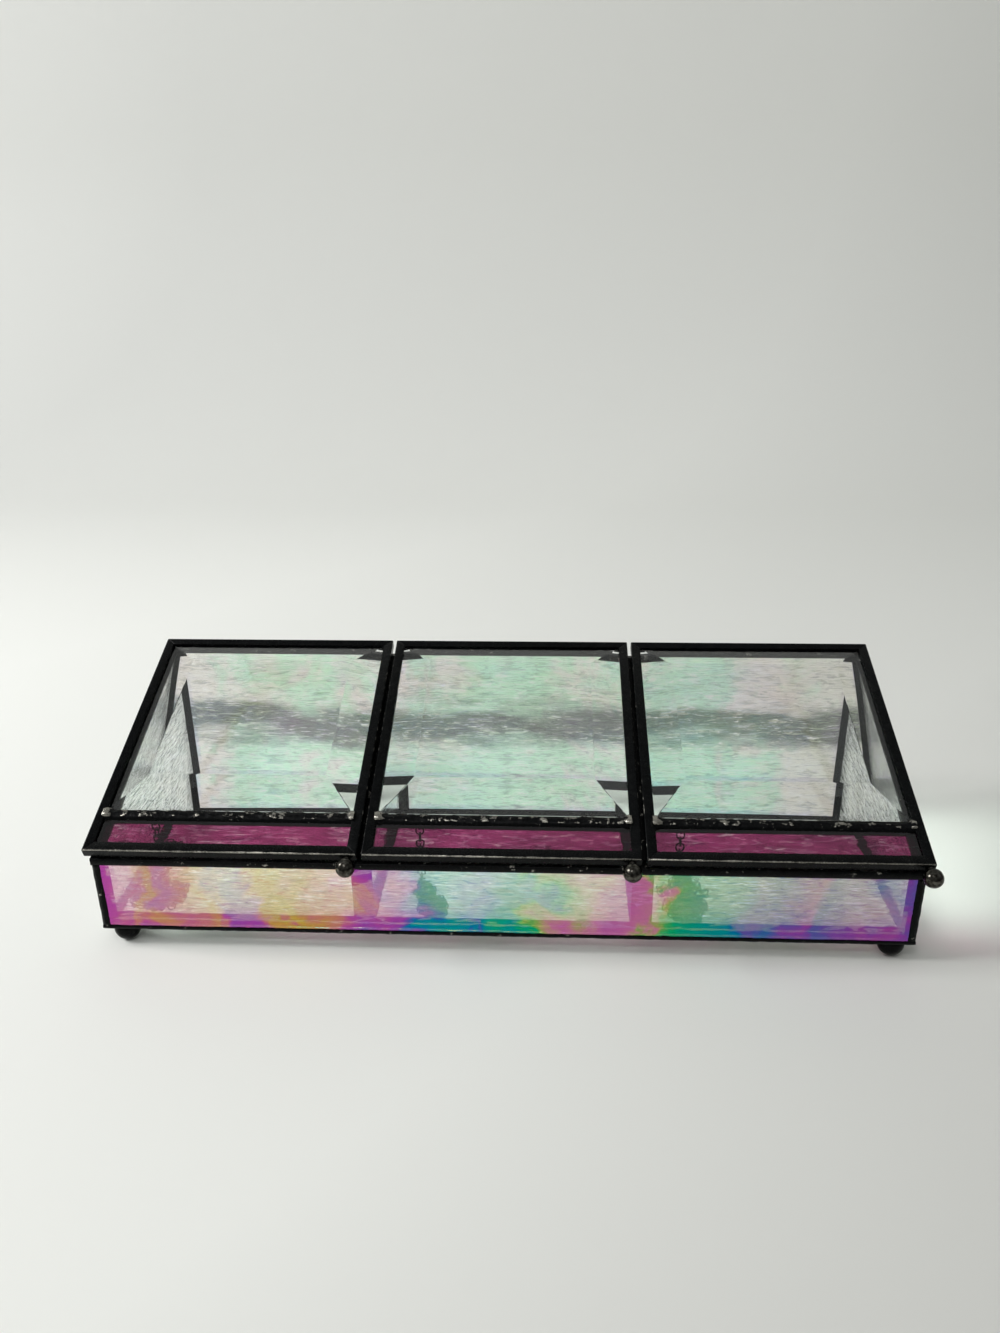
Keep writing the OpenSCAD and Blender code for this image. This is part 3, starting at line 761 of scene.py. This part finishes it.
def heap_path(foot, wide, deep, high, lean, seed):
    """Points down a chain that fell in loose loops round its foot, slid towards the front and spread out. The
    heap is wide, deep and high, and leans to the right, in millimetres."""
    points = []
    turned = 0.0
    for n in range(LINKS_SLACK):
        down = n / (LINKS_SLACK - 1)
        out = min(1.0, 3 * down)
        while True:
            turned += 0.04
            swirl = 2.2 * noise.noise(Vector((turned * 0.23, seed, 0)))
            radius = (2.2 + 1.6 * noise.noise(Vector((turned * 0.37, seed, 4)))) * (0.4 + 0.6 * out)
            aside = noise.noise(Vector((seed, turned * 0.11, 3)))
            inward = noise.noise(Vector((seed, 5, turned * 0.11)))
            x = lean * out + radius * math.cos(turned + swirl) + 2 * wide * aside
            y = -3 - 5.5 * out + radius * math.sin(turned + swirl) + 2 * deep * inward
            z = 1.3 + high * (0.9 * (1 - out) ** 0.8 + 0.85 * (1 - down) ** 0.8)
            z += 1.1 * noise.noise(Vector((turned * 0.8, 2, seed)))
            point = foot + Vector((min(HEAP_REACH, max(-HEAP_REACH, x * MM)), y * MM, max(0.9, z) * MM))
            point.y = max(point.y, front_face + LINK_OFF_GLASS)
            if not points or (point - points[-1]).length >= SLACK_PITCH:
                break
        points.append(point)
    return points


def laid_links(name, places):
    """An object of links, one laid by each matrix."""
    bm = bmesh.new()
    for place in places:
        count = len(bm.verts)
        bm.from_mesh(link)
        bm.verts.ensure_lookup_table()
        bmesh.ops.transform(bm, matrix=place, verts=bm.verts[count:])
    return finished(bm, name, chain_material)


for number, side in enumerate(LIDS):
    finish_node(f"{side}_chain_drop", chain_material)
    low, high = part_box(f"{side}_chain_drop")
    foot = Vector(((low.x + high.x) / 2, (low.y + high.y) / 2, floor_z))
    first, last = low.z + LINK_LONG / 2 - LINK_PITCH, floor_z + LAST_LINK_HIGH
    shares = [n / (LINKS_DRAWN - 1) for n in range(LINKS_DRAWN)]
    places = []
    for n, share in enumerate(shares):
        sway = 1.2 * MM * math.sin(math.pi * share)
        place = Vector((foot.x + sway * noise.noise(Vector((n * 0.09, number, 0.5))),
                        foot.y + sway * noise.noise(Vector((n * 0.09, number, 9.5))),
                        first + (last - first) * share))
        places.append(Matrix.Translation(place) @ Matrix.Rotation(math.radians(n % 2 * 90 + 2.5 * n), 4, "Z"))
    drawn = laid_links(f"{side}_chain_links", places)
    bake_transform(drawn, f"{side}_chain", f"{side}_chain_end", start=foot + Vector((0, 0, DROP_FOOT)), end=foot)
    blend = drawn.data.attributes["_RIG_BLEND"].data
    blend.foreach_set("value", [share for share in shares for _ in link.vertices])
    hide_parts(f"{side}_chain_heap")
    path = heap_path(foot, **HEAPS[side], seed=11 + 17 * number)
    places = []
    for n, point in enumerate(path):
        along = (path[min(len(path) - 1, n + 1)] - path[max(0, n - 1)]).normalized()
        roll = (0.25 if n % 2 else 0.75) * math.pi + 0.5 * noise.noise(Vector((n * 0.7, number, 1)))
        turn = along.to_track_quat("Z", "Y").to_matrix().to_4x4() @ Matrix.Rotation(roll, 4, "Z")
        places.append(Matrix.Translation(point) @ turn)
    slack = laid_links(f"{side}_chain_slack", places)
    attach(slack, "base")

# ---- Table and light ----
# The box stands on a pale seamless sweep whose colour holds painted light and shade: palest round the box and to
# its left, with painted shade falling towards the front right. It stands in soft window light from the left and
# weaker light from in front.

sweep_material, tree, shader = start_material("pale seamless sweep")
where = add_node(tree, "ShaderNodeTexCoord")
split = add_node(tree, "ShaderNodeSeparateXYZ")
tree.links.new(where.outputs["Object"], split.inputs["Vector"])
# Painted light falloff: the colour is palest round the box and to the left and back, darker towards the front
# right, and a little darker far to the left and back.
slanted = calculate(tree, "MULTIPLY_ADD", split.outputs["Y"], -0.9, split.outputs["X"])
shade = ramp(tree, spread(tree, slanted, -1.6, 0.5),
             ((0.17, (0.68, 0.685, 0.66)), (0.33, (0.76, 0.765, 0.735)), (0.52, (0.86, 0.865, 0.83)),
              (0.8, (0.84, 0.845, 0.81)), (0.9, (0.68, 0.68, 0.65)), (0.98, (0.52, 0.515, 0.485))))
tree.links.new(shade, shader.inputs["Base Color"])
shader.inputs["Roughness"].default_value = 0.6
shader.inputs["Specular IOR Level"].default_value = 0.2
SWEEP_WIDE, SWEEP_NEAR, SWEEP_DEEP = 6, -1.5, 2.1
SWEEP_BEND, SWEEP_RISE = 0.35, 1.6
bm = bmesh.new()
left = bm.verts.new((-SWEEP_WIDE / 2, SWEEP_NEAR, 0))
right = bm.verts.new((SWEEP_WIDE / 2, SWEEP_NEAR, 0))
table = bmesh.ops.extrude_edge_only(bm, edges=[bm.edges.new((left, right))])["geom"]
bmesh.ops.translate(bm, verts=only(bmesh.types.BMVert, table), vec=(0, SWEEP_DEEP, 0))
curve = bmesh.ops.spin(bm, geom=only(bmesh.types.BMEdge, table), axis=(1, 0, 0), angle=math.pi / 2, steps=16,
                       cent=(0, SWEEP_NEAR + SWEEP_DEEP, SWEEP_BEND))
wall = bmesh.ops.extrude_edge_only(bm, edges=only(bmesh.types.BMEdge, curve["geom_last"]))["geom"]
bmesh.ops.translate(bm, verts=only(bmesh.types.BMVert, wall), vec=(0, 0, SWEEP_RISE))
bmesh.ops.recalc_face_normals(bm, faces=bm.faces)
finished(bm, "sweep", sweep_material)

world = bpy.data.worlds.new("room")
world.use_nodes = True
tree = world.node_tree
toward = add_node(tree, "ShaderNodeTexCoord")
facing = add_node(tree, "ShaderNodeVectorMath", operation="DOT_PRODUCT")
facing.inputs[1].default_value = (-0.45, 0.3, 0.84)
tree.links.new(toward.outputs["Generated"], facing.inputs[0])
air = ramp(tree, spread(tree, facing.outputs["Value"], -1, 1),
           ((0.3, (0.1, 0.1, 0.1)), (0.45, (0.18, 0.185, 0.18)), (0.65, (0.33, 0.34, 0.335)),
            (1, (0.4, 0.41, 0.405))))
tree.links.new(air, tree.nodes["Background"].inputs["Color"])
scene.world = world


def softbox(name, place, aim, size, watts):
    """A soft square lamp at a place, aimed at a point."""
    lamp = bpy.data.lights.new(name, "AREA")
    lamp.size = size
    lamp.energy = watts
    obj = bpy.data.objects.new(name, lamp)
    obj.matrix_world = (Matrix.Translation(place)
                        @ (Vector(aim) - Vector(place)).to_track_quat("-Z", "Y").to_matrix().to_4x4())
    scene.collection.objects.link(obj)


softbox("window", (-1.3, -0.1, 0.95), (0, 0, 0), 0.5, 19)
softbox("front window", (-0.3, -0.9, 1.4), (0, 0, 0), 0.5, 4)

scene.view_settings.view_transform = "Standard"
GLASS_BOUNCES = 24
scene.cycles.max_bounces = GLASS_BOUNCES
scene.cycles.transmission_bounces = GLASS_BOUNCES
scene.cycles.transparent_max_bounces = GLASS_BOUNCES
